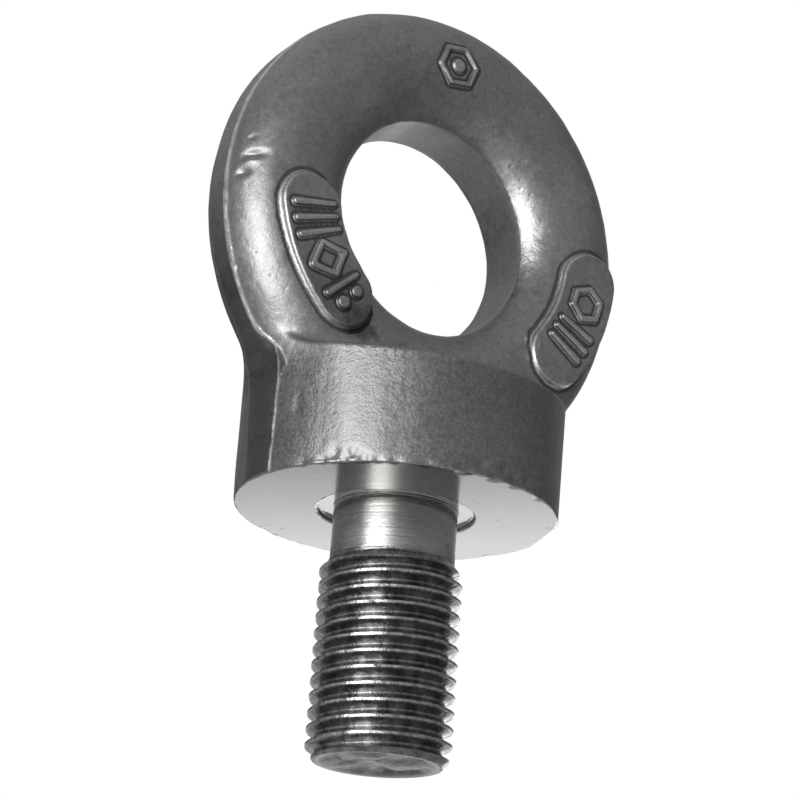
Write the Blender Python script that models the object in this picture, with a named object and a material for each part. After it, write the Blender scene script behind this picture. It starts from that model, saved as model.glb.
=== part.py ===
"""Lifting eye bolt with an M36 shank, drop forged in one piece.

Units are metres and +Z points up.  The origin is the centre of the shank's
flat end face and the shank stands along +Z.  The ring stands in the XZ plane,
its hole runs along Y, and the ring's marked face looks towards -Y.

The bolt is a single piece of steel: a ring, a round collar whose ground
underside seats on the work, a turned neck and a threaded shank.
"""

import math

import bmesh
import bpy

# ---- driving dimensions, in metres ------------------------------------------

SEAT_Z = 0.0640               # height of the collar's seat above the end face

# thread (ISO coarse M36 x 4, right-handed)
THREAD_D = 0.0360
THREAD_PITCH = 0.0040
THREAD_ROOT_R = 0.01556
THREAD_TOP = 0.0515           # height where the thread has run out
THREAD_START = -0.0085        # where the helix begins, which sets its phase
CREST_FLAT = 0.0007
ROOT_FLAT = 0.0007
RUN_OUT = 0.0045              # length over which the thread fades
RUN_OUT_R = 0.0151            # radius it is cut down to at the top
CUT_CLEARANCE = 0.0006        # from the crests out to the turned outline
END_R = 0.0152                # flat end face, inside a 45 degree chamfer

# neck, with a core that overlaps the inside of the thread
NECK_R = 0.0157
NECK_OVERLAP = 0.0009         # depth of the neck below the thread's top
CORE_R = NECK_R - 0.0015
CORE_Z = THREAD_TOP - 0.0080

# collar
COLLAR_R = 0.0410             # at the seat
COLLAR_TOP_R = 0.0415
COLLAR_RISE = 0.0334          # seat to top, on the die's parting plane
COLLAR_DRAFT = 0.13           # its top falls away towards the front and back
SEAT_BEVEL = 0.0006
TRIM_X_TOP = 0.0408           # trimmed flats on the two sides, top and bottom
TRIM_X_LOW = 0.0404
RELIEF_R = 0.0200             # round groove in the seat, about the neck
RELIEF_DEPTH = 0.0013
RELIEF_TAPER = 0.0004         # its outer wall leans in by this much

# ring
RING_T = 0.0308               # front to back at the crown
OUT_Z = SEAT_Z + 0.0754       # centre of the outer oval
OUT_RX = 0.0589
OUT_RZ = 0.0625
HOLE_Z = SEAT_Z + 0.0767      # centre of the hole
HOLE_RX = 0.0279
HOLE_RZ = 0.0293
OUT_LAND = 0.0038             # half width, along Y, of the flat land outside
HOLE_LAND = 0.0072            # and inside the hole
CROWN = 2.2                   # exponent of the section's crown
WAIST_X = 0.0409              # where the limbs meet the collar
WAIST_Z = SEAT_Z + 0.0337
ROOT_FILLET = 0.0060          # blend between the ring's faces and the collar
RIM_MARGIN = 0.0012           # from the end of the blend to the collar's rim

# right side of the ring's foot, buried in the collar, as (x, z)
FOOT_TOP = (WAIST_X - 0.0020, WAIST_Z - 0.0045)
FOOT_CORNER = (WAIST_X - 0.0030, SEAT_Z + 0.0180)

# raised marking pads on the front: arc radius, half width, from, to (degrees
# from straight up, clockwise as seen from the front)
LEFT_PAD = (0.0413, 0.0082, -135.5, -102.0)
RIGHT_PAD = (0.0460, 0.0082, 96.5, 127.5)
PAD_FACE_Y = 0.0162           # distance of the face in front of the XZ plane
PAD_FOOT_Y = 0.0090
PAD_DRAFT = 0.0009            # growth of the outline from face to foot

# fineness of the faceted surfaces
ARC_STEPS = 25                # down each side of the outer oval
LIMB_STEPS = 5                # from the oval to the waist
FOOT_SIDE_STEPS = 4
FOOT_STEPS = 7                # along each half of the foot's underside
SECTION_STEPS = 6             # spans across each half of a crowned face
PAD_STEPS = 8                 # along each arc and around each end of a pad
ROUND_STEPS = 72
THREAD_STEPS = 30             # per turn

# merging distances
THREAD_WELD = 1e-5
BOLT_WELD = 2e-5
SHARP_ANGLE = math.radians(32)


# ---- helpers ------------------------------------------------------------------


def clear_scene():
    for obj in list(bpy.data.objects):
        bpy.data.objects.remove(obj, do_unlink=True)


def mesh_object(name, verts, faces):
    """A closed mesh with its normals turned outwards."""
    mesh = bpy.data.meshes.new(name)
    mesh.from_pydata(verts, [], faces)
    mesh.update()
    bm = bmesh.new()
    bm.from_mesh(mesh)
    bmesh.ops.recalc_face_normals(bm, faces=bm.faces)
    if bm.calc_volume(signed=True) < 0:
        bmesh.ops.reverse_faces(bm, faces=bm.faces)
    bm.to_mesh(mesh)
    bm.free()
    obj = bpy.data.objects.new(name, mesh)
    bpy.context.scene.collection.objects.link(obj)
    return obj


def lathe(name, profile, place=None):
    """A solid turned about Z from (radius, height) pairs, both ends on the axis.

    place, if given, moves each point that is off the axis.
    """
    verts, rings = [], []
    for r, z in profile:
        if r == 0.0:
            rings.append([len(verts)])
            verts.append((0.0, 0.0, z))
            continue
        rings.append(list(range(len(verts), len(verts) + ROUND_STEPS)))
        for i in range(ROUND_STEPS):
            angle = 2 * math.pi * i / ROUND_STEPS
            point = (r * math.cos(angle), r * math.sin(angle), z)
            verts.append(place(point) if place else point)
    faces = []
    for low, high in zip(rings, rings[1:]):
        for i in range(ROUND_STEPS):
            j = (i + 1) % ROUND_STEPS
            if len(low) == 1:
                faces.append((low[0], high[i], high[j]))
            elif len(high) == 1:
                faces.append((low[i], high[0], low[j]))
            else:
                faces.append((low[i], high[i], high[j], low[j]))
    return mesh_object(name, verts, faces)


def combine(target, tool, operation):
    """Apply an exact Boolean of tool to target, then drop the tool."""
    mod = target.modifiers.new(operation.lower(), "BOOLEAN")
    mod.operation = operation
    mod.solver = "EXACT"
    mod.object = tool
    depsgraph = bpy.context.evaluated_depsgraph_get()
    mesh = bpy.data.meshes.new_from_object(target.evaluated_get(depsgraph))
    target.modifiers.remove(mod)
    old = target.data
    target.data = mesh
    bpy.data.meshes.remove(old)
    bpy.data.objects.remove(tool, do_unlink=True)


def weld(obj, distance):
    """Merge the slivers that a cut leaves, drop degenerate faces and triangulate."""
    bm = bmesh.new()
    bm.from_mesh(obj.data)
    bmesh.ops.remove_doubles(bm, verts=bm.verts, dist=distance)
    bmesh.ops.dissolve_degenerate(bm, edges=bm.edges, dist=distance)
    bmesh.ops.triangulate(bm, faces=bm.faces)
    bmesh.ops.recalc_face_normals(bm, faces=bm.faces)
    bm.to_mesh(obj.data)
    bm.free()


def clamp(value):
    return min(max(value, 0.0), 1.0)


def between(start, end, t):
    """The (x, z) point a share t of the way from start to end."""
    return tuple(p + (q - p) * t for p, q in zip(start, end))


# ---- ring ----------------------------------------------------------------------


def ring_outline():
    """The ring's outer (x, z) outline, from the top down the right side and back."""
    # the oval ends on the line from its centre through the waist
    last = math.atan2(WAIST_X / OUT_RX, (WAIST_Z - OUT_Z) / OUT_RZ)
    right = []
    for i in range(ARC_STEPS + 1):
        angle = last * i / ARC_STEPS
        right.append((OUT_RX * math.sin(angle), OUT_Z + OUT_RZ * math.cos(angle)))
    oval_end = right[-1]
    waist = (WAIST_X, WAIST_Z)
    foot_middle = (0.0, FOOT_CORNER[1])
    right += [between(oval_end, waist, i / LIMB_STEPS) for i in range(1, LIMB_STEPS + 1)]
    right += [between(FOOT_TOP, FOOT_CORNER, i / FOOT_SIDE_STEPS)
              for i in range(FOOT_SIDE_STEPS + 1)]
    right += [between(FOOT_CORNER, foot_middle, i / FOOT_STEPS)
              for i in range(1, FOOT_STEPS + 1)]
    return right + [(-x, z) for x, z in right[-2:0:-1]]


def half_thickness(x, z, share, length):
    """Half the ring's thickness at a point of its section.

    length is the section's width there and share how far across it the point
    lies, from 0 at the outer edge to 1 at the hole.
    """
    land = OUT_LAND if share < 0.5 else HOLE_LAND
    edge_distance = min(share, 1 - share) * length
    crown_width = 0.5 * min(length, OUT_RX - HOLE_RX)
    rise = min(1.0, edge_distance / crown_width)
    shape = (1 - (1 - rise) ** CROWN) ** (1 / CROWN)
    # the faces flare out as they come down to the collar's sloping top
    collar_top = SEAT_Z + COLLAR_RISE - COLLAR_DRAFT * (RING_T / 2 + 0.5 * ROOT_FILLET)
    height = clamp((z - collar_top) / ROOT_FILLET)
    flare = ROOT_FILLET * (1 - math.sqrt(1 - (1 - height) ** 2))
    # the blend dies out towards the collar's rim, so it never overhangs it
    rim_y = math.sqrt(max(0.0, COLLAR_TOP_R ** 2 - x * x))
    flare *= clamp((rim_y - RING_T / 2 - RIM_MARGIN) / ROOT_FILLET)
    return land + (RING_T / 2 - land + flare) * shape


def ring_plate():
    spans = 2 * SECTION_STEPS
    # cosine spacing packs more points near the edges
    shares = [0.5 - 0.5 * math.cos(math.pi * k / spans) for k in range(spans + 1)]
    verts, front, back = [], [], []
    for outer in ring_outline():
        angle = math.atan2(outer[0], outer[1] - HOLE_Z)
        inner = (HOLE_RX * math.sin(angle), HOLE_Z + HOLE_RZ * math.cos(angle))
        length = math.hypot(outer[0] - inner[0], outer[1] - inner[1])
        first = len(verts)
        for share in shares:
            x, z = between(outer, inner, share)
            y = half_thickness(x, z, share, length)
            verts += [(x, -y, z), (x, y, z)]
        front.append(range(first, len(verts), 2))
        back.append(range(first + 1, len(verts), 2))
    faces = []
    for i in range(len(front)):
        j = (i + 1) % len(front)
        for k in range(spans):
            faces.append((front[i][k], front[i][k + 1], front[j][k + 1], front[j][k]))
            faces.append((back[i][k], back[j][k], back[j][k + 1], back[i][k + 1]))
        faces.append((front[i][0], front[j][0], back[j][0], back[i][0]))
        faces.append((front[i][-1], back[i][-1], back[j][-1], front[j][-1]))
    return mesh_object("ring_plate", verts, faces)


def pad_outline(pad, grow):
    """A band along an arc about the hole's centre, with round ends, as (x, z)."""
    radius, half_width, start, stop = pad
    width = half_width + grow

    def point(degrees, out, along=0.0):
        """out is measured away from the hole's centre, along runs clockwise."""
        sin, cos = math.sin(math.radians(degrees)), math.cos(math.radians(degrees))
        return ((radius + out) * sin + along * cos,
                HOLE_Z + ((radius + out) * cos - along * sin))

    points = []
    # out along the outer arc and round its end, then back along the inner one
    for begin, end, side in ((start, stop, width), (stop, start, -width)):
        for i in range(PAD_STEPS + 1):
            points.append(point(begin + (end - begin) * i / PAD_STEPS, side))
        for i in range(1, PAD_STEPS):
            turn = math.pi * i / PAD_STEPS
            points.append(point(end, side * math.cos(turn), side * math.sin(turn)))
    return points


def marking_pad(name, pad):
    """A raised flat-topped pad that follows the ring, with drafted sides."""
    verts = [(x, -PAD_FACE_Y, z) for x, z in pad_outline(pad, 0.0)]
    n = len(verts)
    verts += [(x, -PAD_FOOT_Y, z) for x, z in pad_outline(pad, PAD_DRAFT)]
    faces = [tuple(range(n)), tuple(range(2 * n - 1, n - 1, -1))]
    faces += [(i, i + n, (i + 1) % n + n, (i + 1) % n) for i in range(n)]
    return mesh_object(name, verts, faces)


def marked_ring():
    ring = ring_plate()
    for name, pad in (("left_pad", LEFT_PAD), ("right_pad", RIGHT_PAD)):
        combine(ring, marking_pad(name, pad), "UNION")
    return ring


# ---- collar and neck -------------------------------------------------------------


def collar_place(point):
    """Trim the collar's two sides to flats and let its top fall fore and aft."""
    x, y, z = point
    t = (z - SEAT_Z) / COLLAR_RISE
    limit = TRIM_X_LOW + (TRIM_X_TOP - TRIM_X_LOW) * t
    x = max(-limit, min(limit, x))
    if t > 0.99:              # the top rim only
        z -= COLLAR_DRAFT * abs(y)
    return x, y, z


def collar_and_neck():
    neck_low = THREAD_TOP - NECK_OVERLAP
    collar_top = SEAT_Z + COLLAR_RISE
    profile = [
        (0.0, CORE_Z),
        (CORE_R, CORE_Z),
        (CORE_R, neck_low),
        (NECK_R, neck_low),
        (NECK_R, SEAT_Z + RELIEF_DEPTH),
        (RELIEF_R - RELIEF_TAPER, SEAT_Z + RELIEF_DEPTH),
        (RELIEF_R, SEAT_Z),
        (COLLAR_R - SEAT_BEVEL, SEAT_Z),
        (COLLAR_R, SEAT_Z + SEAT_BEVEL),
        (0.5 * (COLLAR_R + COLLAR_TOP_R), SEAT_Z + 0.5 * COLLAR_RISE),
        (COLLAR_TOP_R, collar_top),
        (0.0, collar_top),
    ]
    return lathe("collar", profile, collar_place)


# ---- thread ----------------------------------------------------------------------


def thread_bar():
    """A helical bar, longer than the thread at both ends, to be turned to length."""
    crest = THREAD_D / 2
    flank = (THREAD_PITCH - CREST_FLAT - ROOT_FLAT) / 2
    profile = [
        (THREAD_ROOT_R, 0.0),
        (THREAD_ROOT_R, ROOT_FLAT),
        (crest, ROOT_FLAT + flank),
        (crest, ROOT_FLAT + flank + CREST_FLAT),
    ]
    turns = math.ceil((THREAD_TOP - THREAD_START) / THREAD_PITCH) + 2
    count = turns * THREAD_STEPS
    verts, grid = [], []
    for i in range(count + THREAD_STEPS + 1):
        angle = 2 * math.pi * i / THREAD_STEPS
        lift = THREAD_START + THREAD_PITCH * i / THREAD_STEPS
        # past the last full turn only the root line goes on, as the top edge
        row = profile if i <= count else profile[:1]
        grid.append(range(len(verts), len(verts) + len(row)))
        verts += [(r * math.cos(angle), r * math.sin(angle), lift + z) for r, z in row]
    faces = []
    for i in range(count):
        here, after = grid[i], grid[i + 1]
        for j in range(len(profile) - 1):
            faces.append((here[j], after[j], after[j + 1], here[j + 1]))
        # the crest's upper edge joins the root line one turn on
        above = i + THREAD_STEPS
        faces.append((here[-1], after[-1], grid[above + 1][0], grid[above][0]))
    # each end: along one turn of the root line and back over the profile's end,
    # fanned to the axis
    for first, centre_z in ((0, THREAD_START), (count, lift)):
        rim = [grid[i][0] for i in range(first, first + THREAD_STEPS + 1)]
        rim += grid[first][:0:-1]
        centre = len(verts)
        verts.append((0.0, 0.0, centre_z))
        faces += [(centre, a, b) for a, b in zip(rim, rim[1:] + rim[:1])]
    return mesh_object("thread", verts, faces)


def thread_envelope():
    """The turned outline that the thread is cut to: chamfered end and run-out."""
    clear_r = THREAD_D / 2 + CUT_CLEARANCE
    profile = [
        (0.0, 0.0),
        (END_R, 0.0),
        (clear_r, clear_r - END_R),
        (clear_r, THREAD_TOP - RUN_OUT),
        (RUN_OUT_R, THREAD_TOP),
        (0.0, THREAD_TOP),
    ]
    return lathe("envelope", profile)


# ---- the whole bolt --------------------------------------------------------------


def forged_steel():
    mat = bpy.data.materials.new("forged_steel")
    mat.use_nodes = True
    shader = mat.node_tree.nodes["Principled BSDF"]
    shader.inputs["Base Color"].default_value = (0.115, 0.115, 0.118, 1.0)
    shader.inputs["Metallic"].default_value = 0.85
    shader.inputs["Roughness"].default_value = 0.45
    mat.diffuse_color = (0.25, 0.25, 0.26, 1.0)  # viewport colour
    return mat


def build():
    clear_scene()
    bolt = thread_bar()
    combine(bolt, thread_envelope(), "INTERSECT")
    weld(bolt, THREAD_WELD)
    combine(bolt, collar_and_neck(), "UNION")
    combine(bolt, marked_ring(), "UNION")
    weld(bolt, BOLT_WELD)
    bolt.name = "forged_eye_bolt"
    bolt.data.name = "forged_eye_bolt"
    bolt.data.materials.clear()
    bolt.data.materials.append(forged_steel())
    bolt.data.shade_smooth()
    bolt.data.set_sharp_from_angle(angle=SHARP_ANGLE)


build()
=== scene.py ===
"""Lifting eye bolt: a forged ring and collar on a turned, threaded shank.

The bolt stands on +Z with the shank's end at z = 0 and the collar's seat at
z = SEAT.  The ring lies in the XZ plane, its hole runs along Y, and its front,
with the raised marks, faces -Y.  It is two closed meshes that meet inside the
collar.  The forging is meshed from a distance field in millimetres, negative
inside, whose heights are measured from the seat.
"""

import math

import bmesh
import bpy
import numpy as np
from mathutils import Matrix, Vector


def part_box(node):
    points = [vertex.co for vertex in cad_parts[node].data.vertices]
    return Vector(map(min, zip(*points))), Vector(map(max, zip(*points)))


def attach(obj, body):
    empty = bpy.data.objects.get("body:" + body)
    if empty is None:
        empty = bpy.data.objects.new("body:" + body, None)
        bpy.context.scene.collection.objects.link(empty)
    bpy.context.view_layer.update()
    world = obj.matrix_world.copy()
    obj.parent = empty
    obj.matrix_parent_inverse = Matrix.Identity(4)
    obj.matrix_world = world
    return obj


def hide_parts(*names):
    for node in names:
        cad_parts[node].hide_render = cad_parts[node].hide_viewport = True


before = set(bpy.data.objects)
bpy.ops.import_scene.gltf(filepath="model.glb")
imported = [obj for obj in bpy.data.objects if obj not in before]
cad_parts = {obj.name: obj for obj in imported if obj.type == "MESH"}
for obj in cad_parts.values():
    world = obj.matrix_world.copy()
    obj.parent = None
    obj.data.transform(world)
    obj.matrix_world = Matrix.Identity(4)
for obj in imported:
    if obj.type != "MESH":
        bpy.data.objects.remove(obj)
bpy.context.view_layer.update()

NODE = "forged_eye_bolt"
MM = 0.001
box_low, box_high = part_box(NODE)

# ---- dimensions, in millimetres -------------------------------------------------

SEAT = 64.0                     # height of the seat above the shank's end

# outer oval and hole of the ring: half sizes and the height of the centre
OUTER_HALF_X = box_high.x / MM
OUTER_HALF_Z = 62.5
OUTER_Z = box_high.z / MM - SEAT - OUTER_HALF_Z
HOLE_HALF_X = 27.9
HOLE_HALF_Z = 29.3
HOLE_Z = 76.7

# the ring's section
CROWN_Y = 15.4                  # half the thickness at the crown
SECTION = 15.5                  # half the width
OUTER_REACH = 15.75             # where the crown would end if left untrimmed, outward
OUTER_REACH_GAIN = 0.30         # added to it on the right
HOLE_REACH = 17.04              # the same toward the hole
CROWN_POWER = 2.25              # exponent of the crowned section
RING_FOOT = 29.0                # the ring is cut off below this, inside the collar
FLANK_SINK = 0.40               # how much lower the front is along the left flank

COLLAR_R = 41.0
COLLAR_TOP_R = 41.45
COLLAR_TOP = 33.4
COLLAR_DRAFT = 0.13
COLLAR_FILLET = 5.5
WAIST_X = 40.80                 # trimmed sides at the waist
SIDE_X = 41.05                  # and down the collar
SIDE_TOP = 46.0
GROOVE_R = 20.0
GROOVE_DEPTH = 1.3

FLASH_LIP = 0.20                # height of the lip along the trimmed edge
PAD_Y = 16.2                    # face of the raised pads
MARK_H = 1.05                   # height of the marks on them
TOP_MARK_H = 0.65               # height of the marks above the hole
STROKE_HALF = 0.80              # half width of a stroke on the pads
TOP_STROKE_HALF = 0.6

# pads: radius about the hole, half width, first and last angle from +Z toward +X
LEFT_PAD = (41.3, 8.2, -135.5, -102.0)
RIGHT_PAD = (46.0, 8.2, 96.5, 127.5)
PADS = (LEFT_PAD, RIGHT_PAD)

# straight strokes across a pad: place along it, then start and end across it
LEFT_TICKS = ((12.2, -5.6, 5.4), (8.4, -5.8, 5.6), (4.6, -5.8, 5.6), (-9.6, -5.2, 5.0))
RIGHT_TICKS = ((2.6, -5.0, 5.0), (6.2, -5.2, 5.2), (9.8, -5.0, 5.0))
DIAMOND = [(1.9, 0.0), (-2.4, 5.0), (-6.7, 0.0), (-2.4, -5.2)]
PAD_DOTS = ((-13.4, -2.6), (-13.4, 2.6))
PAD_DOT_R = 1.6
SIXTHS = [60 * i for i in range(6)]
PAD_HEXAGON = [(-5.6 + 4.6 * math.cos(math.radians(a)), 4.6 * math.sin(math.radians(a)))
               for a in SIXTHS]
TOP_MARK_Z = 121.0
TOP_HEXAGON = [(5.7 * math.sin(math.radians(a + 20)),
                TOP_MARK_Z + 5.7 * math.cos(math.radians(a + 20))) for a in SIXTHS]
TOP_DOT_R = 1.9

# the shank; its heights are measured from its end
THREAD_R = 18.0
ROOT_R = 15.56
FLANK_FOOT_R = 15.95            # radius where the flanks meet the hollow root
CREST_HALF = 0.080              # half the crest's flat, in pitches
FLANK_FOOT = 0.335              # the flanks' foot, in pitches from the crest
PITCH = 4.0
CREST_AT = 1.85
THREAD_TOP = 51.5
RUN_OUT = 4.5
NECK_R = 15.7
NECK_FILLET = 0.3
NECK_OVERLAP = 1.6              # how far the shank runs into the collar
END_R = 15.8
END_RIM = 0.3                   # rounding of the end face

CELL = 0.56      # mesh spacing of the forging
COLUMNS = 120     # columns around the shank
MAX_TRIANGLES = 190000

# distances are stored as 0 to 1 attributes that span plus and minus these
TRIM_SPAN = 3.0
STROKE_SPAN = 2.0
RIM_SPAN = 4.0

# dents in the collar: azimuth from the front toward +X, distance from the axis,
# height; radii along x, y, z; depth
COLLAR_DENTS = (
    (-58, 41.4, 0.9, 1.3, 1.3, 1.0, 0.45), (-54, 41.6, 2.0, 1.3, 1.3, 1.5, 0.80),
    (-50.5, 41.5, 0.8, 1.0, 1.0, 1.1, 0.80), (-47.5, 41.6, 2.4, 1.2, 1.2, 1.3, 0.70),
    (-44, 41.5, 1.0, 1.3, 1.3, 1.3, 0.80), (-39, 41.5, 0.7, 1.4, 1.4, 0.9, 0.45),
    (-33, 41.5, 0.6, 1.6, 1.6, 0.8, 0.35), (-23, 41.5, 0.5, 1.8, 1.8, 0.9, 0.40),
    (-9, 41.4, 0.6, 1.8, 1.8, 1.1, 0.55), (-3, 41.3, 2.6, 1.8, 1.8, 1.3, 0.80),
    (2.5, 41.3, 1.2, 1.9, 1.9, 1.3, 1.00), (7, 41.3, 3.2, 1.8, 1.8, 1.4, 0.90),
    (12, 41.4, 1.6, 2.0, 2.0, 1.5, 1.00), (18, 41.4, 2.4, 1.8, 1.8, 1.3, 0.60),
    (27, 41.4, 0.6, 2.2, 2.2, 1.0, 0.35), (-66, 41.4, 0.8, 1.4, 1.4, 1.0, 0.35),
    (-70, 41.6, 16.0, 1.2, 1.2, 2.2, 0.35), (110, 41.4, 1.0, 2.0, 2.0, 1.4, 0.50),
    (160, 41.4, 0.8, 2.4, 2.4, 1.2, 0.45), (205, 41.4, 1.2, 1.6, 1.6, 1.6, 0.45),
    (238, 41.5, 9.0, 1.5, 1.5, 1.2, 0.30),
)
# dents in the ring: x, y, z; radii along x, y, z; depth, negative for a proud burr
RING_DENTS = (
    (-55.0, -10.0, 79.2, 2.2, 3.4, 1.0, 0.85), (-55.6, -9.4, 77.2, 1.8, 3.0, 0.9, -0.40),
    (-56.4, -7.8, 74.4, 1.3, 2.2, 1.1, 0.75), (-55.6, -8.8, 84.0, 0.9, 1.4, 0.8, 0.35),
    (27.2, -15.3, 51.0, 0.55, 2.0, 1.9, -0.60), (27.7, -15.2, 46.2, 0.6, 2.0, 2.2, -0.60),
    (30.4, -15.2, 50.0, 0.5, 2.0, 1.5, -0.45), (-15.0, -15.4, 121.0, 0.9, 1.0, 0.7, 0.35),
    (27.0, -15.0, 116.0, 1.1, 1.0, 2.0, 0.25), (36.0, 15.0, 52.0, 1.4, 1.2, 1.8, 0.35),
    (-30.0, 15.2, 110.0, 1.2, 1.0, 1.6, 0.35), (12.0, 15.2, 122.0, 1.8, 1.0, 1.0, 0.30),
)

# unevenness of the forged faces: depth, wave length, number of waves, seed
RELIEF = ((0.07, 19.0, 14, 3), (0.035, 7.5, 18, 5), (0.010, 2.8, 22, 7))
PIT_DEPTH = 0.07


# ---- field helpers ---------------------------------------------------------------


def smin(a, b, blend):
    """Minimum of two distances, rounded over the blend length."""
    h = np.clip(0.5 + 0.5 * (b - a) / blend, 0.0, 1.0)
    return b + (a - b) * h - blend * h * (1.0 - h)


def smax(a, b, blend):
    return -smin(-a, -b, blend)


def ramp(value, start, stop):
    """Eased 0 to 1 as the value goes from start to stop."""
    t = np.clip((value - start) / (stop - start), 0.0, 1.0)
    return t * t * (3.0 - 2.0 * t)


def bell(distance, width):
    return np.exp(-(distance / width) ** 2)


def oval(x, z, centre_z, half_x, half_z):
    """Depth inside an oval, first order; negative outside it."""
    e = np.sqrt((x / half_x) ** 2 + ((z - centre_z) / half_z) ** 2)
    slope = np.sqrt((x / half_x ** 2) ** 2 + ((z - centre_z) / half_z ** 2) ** 2) + 1e-9
    return (1.0 - e) * e / slope


def waves(points, length, count, seed):
    """Smooth isotropic noise of one size: a sum of plane waves, about -1 to 1."""
    rng = np.random.default_rng(seed)
    direction = rng.normal(size=(count, 3))
    direction /= np.linalg.norm(direction, axis=1)[:, None]
    wavenumber = 2 * math.pi / (length * rng.uniform(0.75, 1.35, count))
    phase = rng.uniform(0, 2 * math.pi, count)
    total = np.zeros(len(points))
    for i in range(count):
        total += np.cos(points @ (direction[i] * wavenumber[i]) + phase[i])
    return total / math.sqrt(count)


def stroke(x, y, start, end, half):
    """Distance to a round-ended stroke between two points."""
    start_x, start_y = start
    dx, dy = end[0] - start_x, end[1] - start_y
    t = np.clip(((x - start_x) * dx + (y - start_y) * dy) / (dx * dx + dy * dy + 1e-9), 0.0, 1.0)
    return np.hypot(x - start_x - t * dx, y - start_y - t * dy) - half


def outlined(x, y, corners, half):
    """Distance to the strokes of a closed polygon."""
    sides = zip(corners, corners[1:] + corners[:1])
    return np.minimum.reduce([stroke(x, y, start, end, half) for start, end in sides])


def dot(x, y, centre, radius):
    return np.hypot(x - centre[0], y - centre[1]) - radius


# ---- the forging's field ----------------------------------------------------------


def outline(x, z):
    """Depth inside the trimmed outline in the XZ plane."""
    ring = oval(x, z, OUTER_Z, OUTER_HALF_X, OUTER_HALF_Z)
    # the right side steps in a little above the collar
    wide = (WAIST_X + (SIDE_X - WAIST_X) * ramp(z, 36.0, 27.0)
            - 0.60 * ramp(x, 20.0, 38.0) * ramp(z, 26.0, 34.0))
    side = np.minimum(wide - np.abs(x), SIDE_TOP - z)
    return smax(ring, side, blend=4.0)


def pad_coords(x, z, pad):
    """Distances along a pad's arc and outward across it, from its middle."""
    radius, _, start, stop = pad
    angle = np.degrees(np.arctan2(x, z - HOLE_Z))
    along = np.radians(angle - 0.5 * (start + stop)) * radius
    return along, np.hypot(x, z - HOLE_Z) - radius


def pad_distance(x, z, pad):
    """Distance outside a pad's round-ended outline."""
    radius, half_width, start, stop = pad
    along, across = pad_coords(x, z, pad)
    half_length = math.radians(0.5 * (stop - start)) * radius
    return np.hypot(np.maximum(np.abs(along) - half_length, 0.0), across) - half_width


def marks(x, z):
    """Distances to the marks on the pads and to those above the hole."""
    shapes = []
    for pad, ticks, corners in ((LEFT_PAD, LEFT_TICKS, DIAMOND),
                                (RIGHT_PAD, RIGHT_TICKS, PAD_HEXAGON)):
        along, across = pad_coords(x, z, pad)
        shapes.append(outlined(along, across, corners, STROKE_HALF))
        for at, start, end in ticks:
            shapes.append(stroke(along, across, (at, start), (at, end), STROKE_HALF))
        if pad is LEFT_PAD:
            shapes += [dot(along, across, centre, PAD_DOT_R) for centre in PAD_DOTS]
    top = np.minimum(outlined(x, z, TOP_HEXAGON, TOP_STROKE_HALF),
                     dot(x, z, (0.0, TOP_MARK_Z), TOP_DOT_R))
    return np.minimum.reduce(shapes), top


def around(azimuth, radius, z):
    """A point on the collar at an azimuth from the front toward +X."""
    a = math.radians(azimuth)
    return radius * math.sin(a), -radius * math.cos(a), z


DENTS = [(*around(*dent[:3]), *dent[3:]) for dent in COLLAR_DENTS] + list(RING_DENTS)


def crown_and_collar(x, y, z, out, hole):
    """The ring's crowned section, the collar and the fillet between them."""
    outward = (np.clip(1.0 - out / SECTION, 0.0, None)
               * (SECTION / (OUTER_REACH + OUTER_REACH_GAIN * ramp(x, -5.0, 30.0))))
    # the front is a little shallow along the left flank
    lean = (ramp(outward, 0.45, 0.95) * ramp(-x, 18.0, 36.0)
            * ramp(-y, 0.5, 3.5) * ramp(z, 30.0, 40.0))
    inward = np.clip(1.0 - hole / SECTION, 0.0, None) * (SECTION / HOLE_REACH)
    power = CROWN_POWER
    crown = (outward ** power + inward ** power + (np.abs(y) / CROWN_Y) ** power) ** (1 / power)
    ring = (crown - 1.0) * CROWN_Y
    ring = np.maximum(ring + FLANK_SINK * lean, RING_FOOT - z)
    wall = COLLAR_R + (COLLAR_TOP_R - COLLAR_R) * np.clip(z / COLLAR_TOP, 0, 1)
    # the top slopes down toward front and back from a rounded ridge
    top = z - COLLAR_TOP + COLLAR_DRAFT * (np.sqrt(y * y + 16.0) - 4.0)
    collar = smax(np.hypot(x, y) - wall, top, blend=1.0)
    return smin(ring, collar, COLLAR_FILLET)


def untrimmed(points):
    """The forging before trimming, with the depths inside outline and past the hole."""
    x, y, z = points.T
    out = outline(x, z)
    hole = -oval(x, z, HOLE_Z, HOLE_HALF_X, HOLE_HALF_Z)
    body = crown_and_collar(x, y, z, out, hole)
    # a thin proud lip of flash along the trimmed edge
    body = body - FLASH_LIP * np.exp(-((out - 0.05) / 0.26) ** 2)
    # raised pads with drafted walls on the front face, sunk a little at their foot
    for pad in PADS:
        distance = pad_distance(x, z, pad)
        ditch = bell(distance - 1.15, 0.42) * ramp(-y, 5.0, 8.0)
        if pad is LEFT_PAD:
            # deeper at the lower corner of the left pad
            ditch = ditch * (1.0 + 1.6 * ramp(z, 55.0, 47.0) * ramp(x, -32.0, -24.0))
        body = body + 0.30 * ditch
        lump = smax(distance - 0.22 * (y + PAD_Y), -(y + PAD_Y), blend=0.75)
        body = smin(body, np.maximum(lump, y), blend=0.5)
    # raised marks, in a shallow moat
    on_pads, on_top = marks(x, z)
    mark = np.maximum(smax(on_pads, -(y + PAD_Y + MARK_H), blend=0.75), y + 9.0)
    top = np.maximum(smax(on_top, -(y + CROWN_Y + TOP_MARK_H), blend=0.6), y + 9.0)
    moat = bell(on_pads - 0.65, 0.4) + bell(on_top - 0.65, 0.4)
    body = body + 0.14 * moat * ramp(-y, 9.0, 11.0)
    body = smin(body, mark, blend=0.35)
    body = smin(body, top, blend=0.35)
    return body, out, hole


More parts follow.
